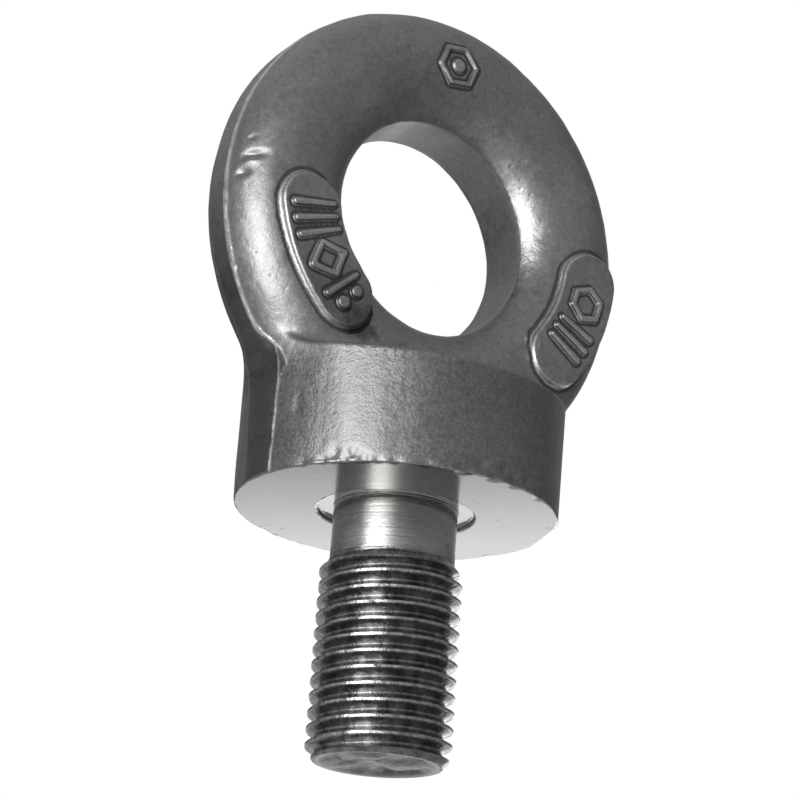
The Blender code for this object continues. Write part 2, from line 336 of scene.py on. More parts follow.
def field(points):
    """Distance to the forging's surface, negative inside; points is (n, 3) in mm."""
    x, y, z = points.T
    body, out, hole = untrimmed(points)
    # the flash trimmed off along the outline and inside the hole
    f = smax(body, -out, blend=0.3)
    f = smax(f, -hole, blend=0.45)
    # a slanting flat at the +X side of the seat, the seat, and the groove in it
    f = smax(f, 0.956 * x - 0.292 * y - 40.25 - 0.33 * z, blend=0.5)
    f = smax(f, -z, blend=0.5)
    groove = smax(np.hypot(x, y) - GROOVE_R, z - GROOVE_DEPTH, blend=0.5)
    f = smax(f, -groove, blend=0.25)
    for at_x, at_y, at_z, half_x, half_y, half_z, depth in DENTS:
        near = np.abs(z - at_z) < 3.2 * half_z
        if near.any():
            q = (((x[near] - at_x) / half_x) ** 2 + ((y[near] - at_y) / half_y) ** 2
                 + ((z[near] - at_z) / half_z) ** 2)
            f[near] += depth * np.exp(-q)
    return f


def relief(points):
    """How far unevenness and pitting sink the forged faces, in mm."""
    sink = np.zeros(len(points))
    for depth, length, count, seed in RELIEF:
        sink += depth * waves(points, length, count, seed)
    sink += PIT_DEPTH * ramp(waves(points, length=2.4, count=20, seed=13), 1.5, 2.3)
    return sink * ramp(points[:, 2], 0.25, 1.3)


def detailed(points):
    return field(points) + relief(points)


def gradient(fn, points, eps=0.04):
    slopes = np.empty_like(points)
    for i in range(3):
        step = np.zeros(3)
        step[i] = eps
        slopes[:, i] = (fn(points + step) - fn(points - step)) / (2 * eps)
    return slopes


def normals_at(fn, points):
    normals = gradient(fn, points, 0.06)
    normals /= np.linalg.norm(normals, axis=1)[:, None]
    return normals


# ---- meshing ------------------------------------------------------------------------


def sample_blocks(low, high, step, block=6):
    """The field on a grid, worked out in full only in blocks near the surface."""
    blocks = np.ceil((high - low) / (step * block)).astype(int)
    centres = [low[i] + step * (block * np.arange(blocks[i]) + (block - 1) / 2) for i in range(3)]
    grid = np.stack(np.meshgrid(*centres, indexing="ij"), -1).reshape(-1, 3)
    coarse = field(grid).reshape(blocks)
    value = np.where(coarse < 0, np.float32(-9), np.float32(9))
    for axis in range(3):
        value = np.repeat(value, block, axis=axis)
    reach = block * step * 0.87 * 1.4 + 0.6
    near = np.argwhere(np.abs(coarse) < reach)
    offsets = np.stack(np.meshgrid(*[np.arange(block)] * 3, indexing="ij"), -1).reshape(-1, 3)
    for part in np.array_split(near, max(1, len(near) // 3000)):
        ijk = (part[:, None, :] * block + offsets[None]).reshape(-1, 3)
        value[ijk[:, 0], ijk[:, 1], ijk[:, 2]] = field(low + step * ijk)
    return value


def surface_nets(low, high, step):
    """A closed quad mesh of the field's zero surface, one vertex per crossed cell."""
    value = sample_blocks(low, high, step)
    n = np.array(value.shape)
    inside = value < 0
    corners = [(a, b, c) for a in (0, 1) for b in (0, 1) for c in (0, 1)]
    count = np.zeros(n - 1, np.uint8)
    for a, b, c in corners:
        count += inside[a:n[0] - 1 + a, b:n[1] - 1 + b, c:n[2] - 1 + c]
    cells = np.argwhere((count > 0) & (count < 8))
    index = np.full(n - 1, -1, np.int32)
    index[cells[:, 0], cells[:, 1], cells[:, 2]] = np.arange(len(cells))
    values = {k: value[cells[:, 0] + k[0], cells[:, 1] + k[1], cells[:, 2] + k[2]].astype(float)
              for k in corners}
    # each vertex is the mean of the crossings on its cell's edges
    total = np.zeros((len(cells), 3))
    hits = np.zeros(len(cells))
    for a in corners:
        for axis in range(3):
            if a[axis]:
                continue
            b = tuple(1 if i == axis else a[i] for i in range(3))
            at_a, at_b = values[a], values[b]
            cross = (at_a < 0) != (at_b < 0)
            t = np.where(cross, at_a / np.where(cross, at_a - at_b, 1.0), 0.0)
            point = np.array(a, float)[None] + t[:, None] * (np.array(b) - np.array(a))[None]
            total += np.where(cross[:, None], point, 0.0)
            hits += cross
    verts = low + step * (cells + total / hits[:, None])
    # each crossed grid edge gives a quad between the four cells around it
    quads = []
    for axis in range(3):
        side, other = (axis + 1) % 3, (axis + 2) % 3
        first = [slice(0, None)] * 3
        second = [slice(0, None)] * 3
        first[axis] = slice(0, -1)
        second[axis] = slice(1, None)
        e = np.argwhere(inside[tuple(first)] != inside[tuple(second)])
        e = e[(e[:, side] > 0) & (e[:, other] > 0)
              & (e[:, side] < n[side] - 1) & (e[:, other] < n[other] - 1)]
        goes_out = inside[e[:, 0], e[:, 1], e[:, 2]]
        ring = []
        for side_step, other_step in ((-1, -1), (0, -1), (0, 0), (-1, 0)):
            c = e.copy()
            c[:, side] += side_step
            c[:, other] += other_step
            ring.append(index[c[:, 0], c[:, 1], c[:, 2]])
        q = np.stack(ring, 1)
        q[~goes_out] = q[~goes_out][:, ::-1]
        quads.append(q)
    return verts, np.concatenate(quads)


def settle(fn, points, limit, rounds):
    """Move points along the field's gradient onto its zero surface."""
    for _ in range(rounds):
        f = fn(points)
        slope = gradient(fn, points)
        steepness = np.maximum((slope * slope).sum(1), 0.05)
        move = f[:, None] * slope / steepness[:, None]
        size = np.linalg.norm(move, axis=1)
        move *= np.minimum(1.0, limit / np.maximum(size, 1e-9))[:, None]
        points = points - move
    return points


def new_mesh(name, verts, faces):
    """A mesh object from arrays; verts in metres, faces all of one size."""
    mesh = bpy.data.meshes.new(name)
    size = faces.shape[1]
    mesh.vertices.add(len(verts))
    mesh.vertices.foreach_set("co", verts.astype(np.float32).ravel())
    mesh.loops.add(faces.size)
    mesh.loops.foreach_set("vertex_index", faces.astype(np.int32).ravel())
    mesh.polygons.add(len(faces))
    mesh.polygons.foreach_set("loop_start", np.arange(0, faces.size, size, dtype=np.int32))
    mesh.update(calc_edges=True)
    mesh.validate()
    obj = bpy.data.objects.new(name, mesh)
    bpy.context.scene.collection.objects.link(obj)
    return obj


def points_of(obj):
    co = np.empty(len(obj.data.vertices) * 3, np.float32)
    obj.data.vertices.foreach_get("co", co)
    return co.reshape(-1, 3).astype(float)


def set_points(obj, co):
    obj.data.vertices.foreach_set("co", co.astype(np.float32).ravel())
    obj.data.update()


def add_value(obj, name, values):
    layer = obj.data.attributes.new(name, "FLOAT", "POINT")
    layer.data.foreach_set("value", np.clip(values, 0, 1).astype(np.float32))


def thin_out(obj, ratio):
    """Decimate the mesh and apply the modifier."""
    obj.modifiers.new("thin_out", "DECIMATE").ratio = ratio
    depsgraph = bpy.context.evaluated_depsgraph_get()
    mesh = bpy.data.meshes.new_from_object(obj.evaluated_get(depsgraph))
    obj.modifiers.clear()
    old = obj.data
    obj.data = mesh
    bpy.data.meshes.remove(old)


def folded_slivers(obj):
    """Indices of triangles that face away from the field or are nearly flat lines."""
    mesh = obj.data
    tri = np.empty(len(mesh.polygons) * 3, np.int32)
    mesh.loops.foreach_get("vertex_index", tri)
    tri = tri.reshape(-1, 3)
    co = points_of(obj) / MM
    mean = normals_at(field, co)[tri].sum(1)
    mean /= np.maximum(np.linalg.norm(mean, axis=1), 1e-9)[:, None]
    a, b, c = (co[tri[:, i]] for i in range(3))
    face = np.cross(b - a, c - a)
    area = np.linalg.norm(face, axis=1)
    longest = np.maximum.reduce([((b - a) ** 2).sum(1), ((c - b) ** 2).sum(1),
                                 ((a - c) ** 2).sum(1)])
    return np.flatnonzero(((face * mean).sum(1) < 0.35 * area) | (area < 0.02 * longest))


def mend(obj):
    """Collapse the few folded slivers that thinning leaves."""
    for _ in range(4):
        bad = folded_slivers(obj)
        if not len(bad):
            break
        bm = bmesh.new()
        bm.from_mesh(obj.data)
        bm.faces.ensure_lookup_table()
        edges = {min(bm.faces[i].edges, key=lambda e: e.calc_length()) for i in bad}
        bmesh.ops.collapse(bm, edges=list(edges), uvs=False)
        bmesh.ops.triangulate(bm, faces=[f for f in bm.faces if len(f.verts) > 3])
        bm.to_mesh(obj.data)
        bm.free()
        set_points(obj, settle(detailed, points_of(obj) / MM, limit=0.4, rounds=2) * MM)


def add_forging_values(obj, points):
    """Attributes that tell the material where each face and feature lies."""
    body, out, hole = untrimmed(points)
    x, y, z = points.T
    groove_floor = ramp(np.hypot(x, y), GROOVE_R + 0.6, GROOVE_R + 0.1) * (z < 4.0)
    add_value(obj, "machined", np.maximum(1.0 - ramp(z, 0.12, 0.4), groove_floor))
    add_value(obj, "land", ramp(body + out, 0.1, -0.5))
    add_value(obj, "bore", ramp(body + hole, 0.1, -0.5))
    add_value(obj, "trim_line", 0.5 + (body + out) / (2 * TRIM_SPAN))
    nearest = np.minimum(*marks(x, z))
    add_value(obj, "stroke", np.where(y < -9.0, 0.5 + nearest / (2 * STROKE_SPAN), 1.0))
    add_value(obj, "hole_edge", bell(body + hole, 0.42))
    pads = np.zeros(len(x))
    rim = np.full(len(x), 9.0)
    for pad in PADS:
        distance = pad_distance(x, z, pad)
        pads = np.maximum(pads, ramp(distance, 1.0, -0.5) * ramp(-y, 5.0, 8.0))
        rim = np.minimum(rim, np.where(y < -6.0, distance, 9.0))
    add_value(obj, "pad", pads)
    add_value(obj, "pad_rim", 0.5 + rim / (2 * RIM_SPAN))


def forging():
    margin = 1.2
    low = np.array([-OUTER_HALF_X - margin, -COLLAR_TOP_R - margin, -margin])
    high = np.array([OUTER_HALF_X + margin, COLLAR_TOP_R + margin,
                     OUTER_Z + OUTER_HALF_Z + margin])
    verts, quads = surface_nets(low, high, CELL)
    verts = settle(field, verts, limit=0.5 * CELL, rounds=2)
    # split each quad along its shorter diagonal
    a, b, c, d = (verts[quads[:, i]] for i in range(4))
    short = (((a - c) ** 2).sum(1) <= ((b - d) ** 2).sum(1))[:, None]
    one = np.where(short, quads[:, [0, 1, 2]], quads[:, [0, 1, 3]])
    two = np.where(short, quads[:, [0, 2, 3]], quads[:, [1, 2, 3]])
    obj = new_mesh("ring_and_collar", verts * MM, np.concatenate([one, two]))
    triangles = len(obj.data.polygons)
    if triangles > MAX_TRIANGLES:
        thin_out(obj, MAX_TRIANGLES / triangles)
    set_points(obj, settle(detailed, points_of(obj) / MM, limit=0.4, rounds=3) * MM)
    mend(obj)
    co = points_of(obj) / MM
    normals = normals_at(detailed, co)
    # keep inside the part's box
    lift = np.array([0, 0, SEAT])
    co = np.clip(co, np.array(box_low) / MM - lift + 0.002, np.array(box_high) / MM - lift - 0.002)
    add_forging_values(obj, co)
    set_points(obj, (co + lift) * MM)
    obj.data.shade_smooth()
    obj.data.normals_split_custom_set_from_vertices([tuple(n) for n in normals])
    return obj


# ---- shank ----------------------------------------------------------------------------

ANGLES = np.arange(COLUMNS) * 2 * math.pi / COLUMNS

# rows of one thread turn, in pitches from the crest
THREAD_PHASES = (0.0, 0.04, 0.08, 0.13, 0.19, 0.26, 0.335, 0.37, 0.41, 0.455, 0.5,
                 0.545, 0.59, 0.63, 0.665, 0.74, 0.81, 0.87, 0.92, 0.96)
END_RADII = (13.6, 12.8, 12.0, 11.0, 10.0, 9.0, 8.0, 7.0, 6.0, 5.0, 4.0, 3.0, 2.0, 1.0)


def thread_radius(turns):
    """Radius of the V thread, a number of pitches from the crest."""
    s = np.abs(((turns + 0.5) % 1.0) - 0.5)
    flank = FLANK_FOOT_R + (THREAD_R - FLANK_FOOT_R) * np.clip(
        (FLANK_FOOT - s) / (FLANK_FOOT - CREST_HALF), 0.0, 1.0)
    hollow = FLANK_FOOT_R - (FLANK_FOOT_R - ROOT_R) * (
        1.0 - np.clip((0.5 - s) / (0.5 - FLANK_FOOT), 0.0, 1.0) ** 2)
    return np.where(s < FLANK_FOOT, flank, hollow)


def shank_radius(angle, z):
    """Radius of the turned surface at an angle and a height above the end."""
    r = thread_radius((z - CREST_AT) / PITCH - angle / (2 * math.pi))
    # small tears and dents along the crests
    ripple = np.cos(7 * angle + 1.3 * z) + np.cos(11 * angle - 0.7 * z + 2.0)
    r = r - 0.09 * np.clip(ripple, 0, None) * np.clip((r - 17.4) / 0.6, 0, 1)
    # the end's filled first groove and its chamfer
    r = np.maximum(r, END_R + END_RIM - 1.2 * np.maximum(z - END_RIM, 0.0))
    r = np.minimum(r, END_R + np.maximum(z, 0.0))
    # the crests run out into the neck
    r = np.minimum(r, 15.1 + 3.5 * np.clip((THREAD_TOP - z) / RUN_OUT, 0.0, 1.0))
    neck = NECK_R - 0.25 * np.clip((THREAD_TOP - 0.35 - z) / 0.5, 0, 1)
    return np.maximum(r, np.where(z > THREAD_TOP - 0.9, neck, 0.0))


def thread():
    """Points and quads of the thread, its rows following the helix."""
    rows = np.array([CREST_AT + PITCH * (k + t)
                     for k in range(-3, int(THREAD_TOP / PITCH) + 2) for t in THREAD_PHASES])
    lift = PITCH * ANGLES / (2 * math.pi)
    z = np.clip(rows[:, None] + lift[None, :], END_RIM, THREAD_TOP)
    angle = np.broadcast_to(ANGLES[None, :], z.shape)
    r = shank_radius(angle, z)
    points = np.stack([r * np.cos(angle), r * np.sin(angle), z], -1).reshape(-1, 3)
    count = len(rows)
    index = np.arange(count * COLUMNS).reshape(count, COLUMNS)
    quads = []
    for i in range(COLUMNS):
        j = (i + 1) % COLUMNS
        # the last column joins the first one turn further up
        shift = 0 if j else len(THREAD_PHASES)
        quads.append(np.stack([index[:count - 1 - shift, i], index[shift:-1, j],
                               index[1 + shift:, j], index[1:count - shift, i]], 1))
    quads = np.concatenate(quads)
    # drop the rows squeezed flat against the two ends
    heights = points[:, 2][quads]
    return points, quads[(heights.max(1) - heights.min(1)) > 1e-7]


def circle(radius, z):
    return np.stack([radius * np.cos(ANGLES), radius * np.sin(ANGLES), np.full(COLUMNS, z)], -1)


def quarter(t):
    """Inset and rise, 0 to 1, along a quarter round."""
    return 1 - math.cos(t * math.pi / 2), math.sin(t * math.pi / 2)


def neck_rings(top_z):
    """Circles from the thread's end up into the collar and in over the top."""
    fillet_z = SEAT + GROOVE_DEPTH - NECK_FILLET
    heights = np.linspace(THREAD_TOP, fillet_z, 46)
    scratch = np.random.default_rng(11).uniform(0.0, 0.035, len(heights))
    scratch[0] = 0.0
    rings = [circle(NECK_R - s, z) for z, s in zip(heights, scratch)]
    for t in np.linspace(0.2, 1.0, 5):
        inset, rise = quarter(t)
        rings.append(circle(NECK_R + NECK_FILLET * inset, fillet_z + NECK_FILLET * rise))
    rings += [circle(r, top_z) for r in (NECK_R + NECK_FILLET, 13.0, 8.0, 3.0)]
    return rings


def end_rings():
    """Circles of the end face: a rounded rim and a slightly uneven, hollow middle."""
    rings = []
    for t in np.linspace(0.0, 1.0, 6):
        inset, rise = quarter(t)
        rings.append(circle(END_R + END_RIM - 1.1 * inset, END_RIM - 0.24 * rise))
    for r in END_RADII:
        ring = circle(r, 0.0)
        hollow = (0.75 + 0.60 * waves(ring, length=13.0, count=12, seed=21)
                  + 0.16 * waves(ring, length=5.5, count=14, seed=22))
        middle = ramp(r, 14.8, 11.6)
        ring[:, 2] = 0.06 * (1 - middle) + middle * np.clip(hollow, 0.0, 2.4) + 0.02
        rings.append(ring)
    return rings[::-1]


def band(rings, base):
    """Points, quads and vertex indices of stacked circles, numbered from base."""
    index = base + np.arange(len(rings) * COLUMNS).reshape(len(rings), COLUMNS)
    after = np.roll(index, -1, axis=1)
    quads = np.stack([index[:-1], after[:-1], after[1:], index[1:]], -1).reshape(-1, 4)
    return np.concatenate(rings), quads, index


def shank():
    top_z = SEAT + GROOVE_DEPTH + NECK_OVERLAP
    thread_points, thread_quads = thread()
    neck_points, neck_quads, top = band(neck_rings(top_z), len(thread_points))
    base = len(thread_points) + len(neck_points)
    end_points, end_quads, end = band(end_rings(), base)
    hubs = np.array([[0, 0, top_z], [0, 0, 0.8]])
    hub_top = base + len(end_points)
    hub_end = hub_top + 1
    verts = np.concatenate([thread_points, neck_points, end_points, hubs])
    quads = np.concatenate([thread_quads, neck_quads, end_quads])
    obj = new_mesh("threaded_shank", verts * MM, quads)
    # close both ends with fans and weld the parts
    bm = bmesh.new()
    bm.from_mesh(obj.data)
    bm.verts.ensure_lookup_table()
    for i in range(COLUMNS):
        j = (i + 1) % COLUMNS
        for corners in ((top[-1][i], top[-1][j], hub_top), (end[0][j], end[0][i], hub_end)):
            bm.faces.new([bm.verts[k] for k in corners])
    bmesh.ops.remove_doubles(bm, verts=bm.verts, dist=2e-6)
    loose = [v for v in bm.verts if not v.link_faces]
    bmesh.ops.delete(bm, geom=loose, context="VERTS")
    bmesh.ops.recalc_face_normals(bm, faces=bm.faces)
    bm.to_mesh(obj.data)
    bm.free()
    obj.data.shade_smooth()
    obj.data.set_sharp_from_angle(angle=math.radians(40))
    return obj


# ---- shader nodes ------------------------------------------------------------------------


class Signal:
    """A node's output that takes arithmetic; each operation adds a Math node."""

    def __init__(self, nodes, socket):
        self.nodes = nodes
        self.socket = socket

    def __add__(self, other):
        return self.nodes.math("ADD", self, other)

    def __radd__(self, other):
        return self.nodes.math("ADD", other, self)

    def __sub__(self, other):
        return self.nodes.math("SUBTRACT", self, other)

    def __mul__(self, other):
        return self.nodes.math("MULTIPLY", self, other)

    def __abs__(self):
        return self.nodes.math("ABSOLUTE", self)


class Nodes:
    """A short way to write a node tree."""

    def __init__(self, tree):
        self.tree = tree

    def plug(self, socket, value):
        if isinstance(value, Signal):
            self.tree.links.new(value.socket, socket)
        else:
            socket.default_value = value

    def node(self, kind, inputs=None, output=0, **settings):
        """Add a node, fill its inputs and return one of its outputs."""
        node = self.tree.nodes.new(kind)
        for key, value in settings.items():
            setattr(node, key, value)
        for key, value in (inputs or {}).items():
            self.plug(node.inputs[key], value)
        return Signal(self, node.outputs[output])

    def math(self, operation, *values):
        return self.node("ShaderNodeMath", dict(enumerate(values)), operation=operation)

    def maximum(self, a, b):
        return self.math("MAXIMUM", a, b)

    def remap(self, value, over, to=(0.0, 1.0), kind="LINEAR"):
        """Take the range `over` to the range `to`, clamped."""
        inputs = {"Value": value, "From Min": over[0], "From Max": over[1],
                  "To Min": to[0], "To Max": to[1]}
        return self.node("ShaderNodeMapRange", inputs, interpolation_type=kind)

    def ease(self, value, over, to=(0.0, 1.0)):
        return self.remap(value, over, to, "SMOOTHSTEP")

    def spread(self, noise, to):
        """Take the range a noise mostly keeps to onto `to`."""
        return self.remap(noise, over=(0.3, 0.7), to=to)

    def mix(self, factor, a, b):
        return self.node("ShaderNodeMix", {0: factor, 2: a, 3: b}, data_type="FLOAT")

    def value(self, name):
        return self.node("ShaderNodeAttribute", output="Fac", attribute_name=name)

    def coords(self, scale=(1000.0, 1000.0, 1000.0)):
        """Object coordinates, in millimetres unless scaled otherwise."""
        place = self.node("ShaderNodeTexCoord", output="Object")
        return self.node("ShaderNodeMapping", {"Vector": place, "Scale": scale})

    def split(self, vector):
        x = self.node("ShaderNodeSeparateXYZ", {0: vector})
        return [Signal(self, socket) for socket in x.socket.node.outputs]

    def radius(self, x, y):
        return self.math("SQRT", x * x + y * y)

    def noise(self, vector, size, detail, rough):
        inputs = {"Vector": vector, "Scale": 1.0 / size, "Detail": detail, "Roughness": rough}
        return self.node("ShaderNodeTexNoise", inputs, output="Fac")

    def near(self, vector, point, noise, ragged):
        """Distance from a point, made ragged by a noise."""
        distance = self.node("ShaderNodeVectorMath", {0: vector, 1: point}, output="Value",
                             operation="DISTANCE")
        return distance + self.spread(noise, to=(-ragged, ragged))

    def steel_grey(self, tone):
        """A faintly warm grey."""
        channels = {i: tone * tint for i, tint in enumerate((1.0, 0.997, 0.978))}
        return self.node("ShaderNodeCombineColor", channels)

    def bump(self, height, distance, under=None, strength=1.0):
        """A bump, its distance in metres, on top of another one if given."""
        inputs = {"Height": height, "Distance": distance, "Strength": strength}
        if under is not None:
            inputs["Normal"] = under
        return self.node("ShaderNodeBump", inputs)

    def by_ray(self, lighting, seen):
        """One shader for lighting and another as the camera sees it."""
        ray = self.node("ShaderNodeLightPath", output="Is Camera Ray")
        return self.node("ShaderNodeMixShader", {0: ray, 1: lighting, 2: seen})


def new_material(name):
    mat = bpy.data.materials.new(name)
    mat.use_nodes = True
    return mat, Nodes(mat.node_tree), mat.node_tree.nodes["Principled BSDF"]


# ---- forged steel ----------------------------------------------------------------------

# painted shade over the crown above the hole and painted highlights on the right limb: centre,
# reach, factor on the tone
PAINTED_LIGHT_AREAS = (
    ((-6.0, -15.0, SEAT + 106.0), 20.0, 0.77),
    ((39.0, -14.0, SEAT + 93.0), 20.0, 1.16),
    ((27.5, -14.0, SEAT + 82.0), 19.0, 1.20),
)


def trimmed_edge(m, x, y, z, wander):
    """Masks: bright edge, ring above the collar; distance past the collar's side flat."""
    trim = m.remap(m.value("trim_line"), over=(0.0, 1.0), to=(-TRIM_SPAN, TRIM_SPAN))
    edge = (m.ease(trim, over=(-0.15, -0.04))
            * m.ease(trim + wander * 0.8, over=(0.20, 0.62), to=(1.0, 0.0)))
    on_ring = m.ease(z, over=(SEAT + 31.0, SEAT + 33.0))
    # the flat's half width grows with height
    aside = abs(y) - m.remap(z, over=(SEAT, SEAT + 33.0), to=(6.3, 7.5))
    aside = aside + wander * 1.5
    seam = (m.ease(abs(aside), over=(0.20, 0.60), to=(1.0, 0.0))
            * m.remap(abs(x), over=(37.0, 38.0)))
    # fainter toward the back
    edge = m.mix(on_ring, seam, edge) * m.ease(y, over=(-1.0, 1.5), to=(1.0, 0.12))
    return edge, on_ring, aside


def mark_masks(m, wander):
    """Masks of the marks, of the pads' walls, which take a painted highlight, and of the creases
    around both, which take a painted shade.
    """
    stroke = m.remap(m.value("stroke"), over=(0.0, 1.0), to=(-STROKE_SPAN, STROKE_SPAN))
    rim = (m.remap(m.value("pad_rim"), over=(0.0, 1.0), to=(-RIM_SPAN, RIM_SPAN))
           + wander * 1.6)
    mark = m.ease(stroke, over=(0.05, -0.35))
    gutter = m.ease(stroke, over=(0.15, 0.4)) * m.ease(stroke, over=(1.2, 0.7))
    wall = m.ease(rim, over=(-0.55, -0.2)) * m.ease(rim, over=(0.75, 0.4))
    foot = m.ease(rim, over=(0.55, 0.9)) * m.ease(rim, over=(2.0, 1.4))
    return mark, wall, m.maximum(gutter, foot * 0.85)


def seat_finish(m, mm, x, y):
    """Tone of the seat, and the cloud noise that varies it."""
    cloud = m.noise(mm, size=12.0, detail=3.0, rough=0.55)
    grain = m.noise(mm, size=1.3, detail=2.0, rough=0.5)
    spots = m.ease(m.noise(mm, size=2.2, detail=0.0, rough=0.5),
                   over=(0.16, 0.24), to=(0.75, 1.0))
    tone = m.spread(cloud, to=(0.82, 0.88)) + m.spread(grain, to=(-0.012, 0.012))
    # painted shade toward the front left, painted light toward the back right
    tone *= m.remap(x * 0.72 + y * 0.69, over=(-36.0, 30.0), to=(0.50, 1.18))
    # bright inside the groove, with a painted shadow line round its edge
    r = m.radius(x, y)
    tone = m.mix(m.ease(r, over=(GROOVE_R - 0.2, GROOVE_R - 0.6)), tone, 1.0)
    line = (m.ease(r, over=(GROOVE_R - 0.5, GROOVE_R - 0.2))
            * m.ease(r, over=(GROOVE_R + 0.15, GROOVE_R - 0.05)))
    tone *= m.mix(line, 1.0, 0.3)
    return tone * spots, cloud


def forged_finish():
    """Dark forged steel with a soft blasted grain, and the bright ground seat."""
    mat, m, shader = new_material("forged_steel_skin")
    mm = m.coords()
    machined, land, bore = m.value("machined"), m.value("land"), m.value("bore")
    pad, hole_edge = m.value("pad"), m.value("hole_edge")
    x, y, z = m.split(mm)
    collar = m.ease(z, over=(SEAT + 31.0, SEAT + 27.0))
    broad = m.noise(mm, size=17.0, detail=3.0, rough=0.55)
    patch = m.noise(mm, size=5.0, detail=3.0, rough=0.6)
    blotch = m.noise(mm, size=1.7, detail=2.0, rough=0.55)
    grain = m.noise(mm, size=0.72, detail=1.5, rough=0.5)
    fine = m.noise(mm, size=0.36, detail=1.0, rough=0.5)
    wander = m.remap(blotch, over=(0.2, 0.8), to=(-0.14, 0.14))
    edge, on_ring, aside = trimmed_edge(m, x, y, z, wander)
    mark, wall, crease_shade = mark_masks(m, wander)

    # tone: scale and clean metal in soft patches, with a sandy speckle
    tone = m.spread(broad, to=(0.325, 0.375)) + m.spread(patch, to=(-0.018, 0.018))
    tone += m.spread(blotch, to=(-0.034, 0.034))
    sand = m.spread(grain, to=(-1.0, 1.0))
    tone *= 1.0 + sand * m.mix(collar, 0.12, 0.16)
    tone *= m.mix(collar, 1.0, 0.80)
    # painted shade behind the trim line, low on the two sides
    wide = abs(x)
    scale = m.remap(wide, over=(37.0, 40.5)) * m.remap(z, over=(SEAT + 88.0, SEAT + 50.0))
    scale *= m.remap(y, over=(-4.5, -1.5)) * m.remap(y, over=(18.0, 9.0))
    behind_shade = m.remap(wide, over=(37.0, 39.0)) * m.ease(aside, over=(0.3, -0.5))
    scale = m.mix(on_ring, behind_shade, scale)
    tone *= m.mix(scale, 1.0, m.mix(on_ring, 0.66, 0.54))
    # painted shade over the crown and painted highlights on the right limb, in soft balls
    for point, reach, level in PAINTED_LIGHT_AREAS:
        span = m.near(mm, point, patch, ragged=2.0)
        tone *= m.ease(span, over=(4.0, reach), to=(level, 1.0))
    # painted shade low on the left pad and in the corner by its foot
    low = m.remap(z, over=(SEAT + 58.0, SEAT + 47.0)) * m.remap(x, over=(-16.0, -20.0))
    tone *= m.mix(low * pad, 1.0, 0.70)
    corner_shade = m.near(mm, (-24.5, -13.5, SEAT + 41.0), patch, ragged=2.0)
    tone *= m.ease(corner_shade, over=(2.5, 7.0), to=(0.38, 1.0))
    # factors on the tone where each mask is full; the land's grows with height, a painted light
    # darker low and lighter high; the pads' walls carry a painted highlight and the creases a
    # painted shade
    land_painted_light = m.remap(z, over=(SEAT + 25.0, SEAT + 85.0), to=(0.78, 1.22))
    for mask, level in ((land, land_painted_light), (bore, 1.0), (pad, 1.08), (mark, 1.45),
                        (wall, 1.55), (crease_shade, 0.34)):
        tone *= m.mix(mask, 1.0, level)
    # clean metal along the trimmed flash, partly wear and partly a painted highlight
    wear_and_glint = edge * m.ease(blotch, over=(0.3, 0.6), to=(0.45, 1.0))
    tone = m.mix(wear_and_glint * 0.95, tone, 0.92)
    tone = m.mix(hole_edge * 0.2, tone, 0.5)
    seat_tone, seat_cloud = seat_finish(m, mm, x, y)
    tone = m.mix(machined, tone, seat_tone)
    m.plug(shader.inputs["Base Color"], m.steel_grey(tone))

    # roughness: sandier on the collar, rubbed smoother on the right limb
    rough = m.spread(patch, to=(0.39, 0.44)) + m.spread(blotch, to=(-0.025, 0.025))
    rough += collar * (-0.02 + sand * 0.06)
    rough = m.mix(edge * 0.6, rough, 0.40)
    rubbed = m.near(mm, (29.0, -13.0, SEAT + 80.0), patch, ragged=5.0)
    rough += m.ease(rubbed, over=(10.0, 34.0), to=(-0.085, 0.0))
    rough = m.mix(crease_shade, rough, 0.55)
    rough = m.mix(machined, rough, m.spread(seat_cloud, to=(0.12, 0.17)))
    m.plug(shader.inputs["Roughness"], rough)
    m.plug(shader.inputs["Metallic"], m.mix(machined, 0.92, 1.0))

    # bumps fade on the seat, the trimmed faces and the bright edge
    keep = m.remap(machined, over=(0.0, 1.0), to=(1.0, 0.0))
    keep *= m.mix(m.maximum(land, bore), 1.0, 0.35)
    keep *= m.mix(edge, 1.0, 0.6)
    bump = m.bump(patch, distance=0.00013, strength=keep)
    bump = m.bump(blotch, distance=0.00005, under=bump, strength=keep)
    bump = m.bump(grain, distance=0.00006, under=bump, strength=keep * m.mix(collar, 0.6, 1.0))
    bump = m.bump(fine, distance=0.000010, under=bump, strength=keep)
    # faint rings on the seat
    lay = m.math("SINE", m.radius(x, y) * 9.0)
    bump = m.bump(lay, distance=0.0000012, under=bump, strength=machined)
    m.plug(shader.inputs["Normal"], bump)
    return mat


# ---- turned steel ----------------------------------------------------------------------


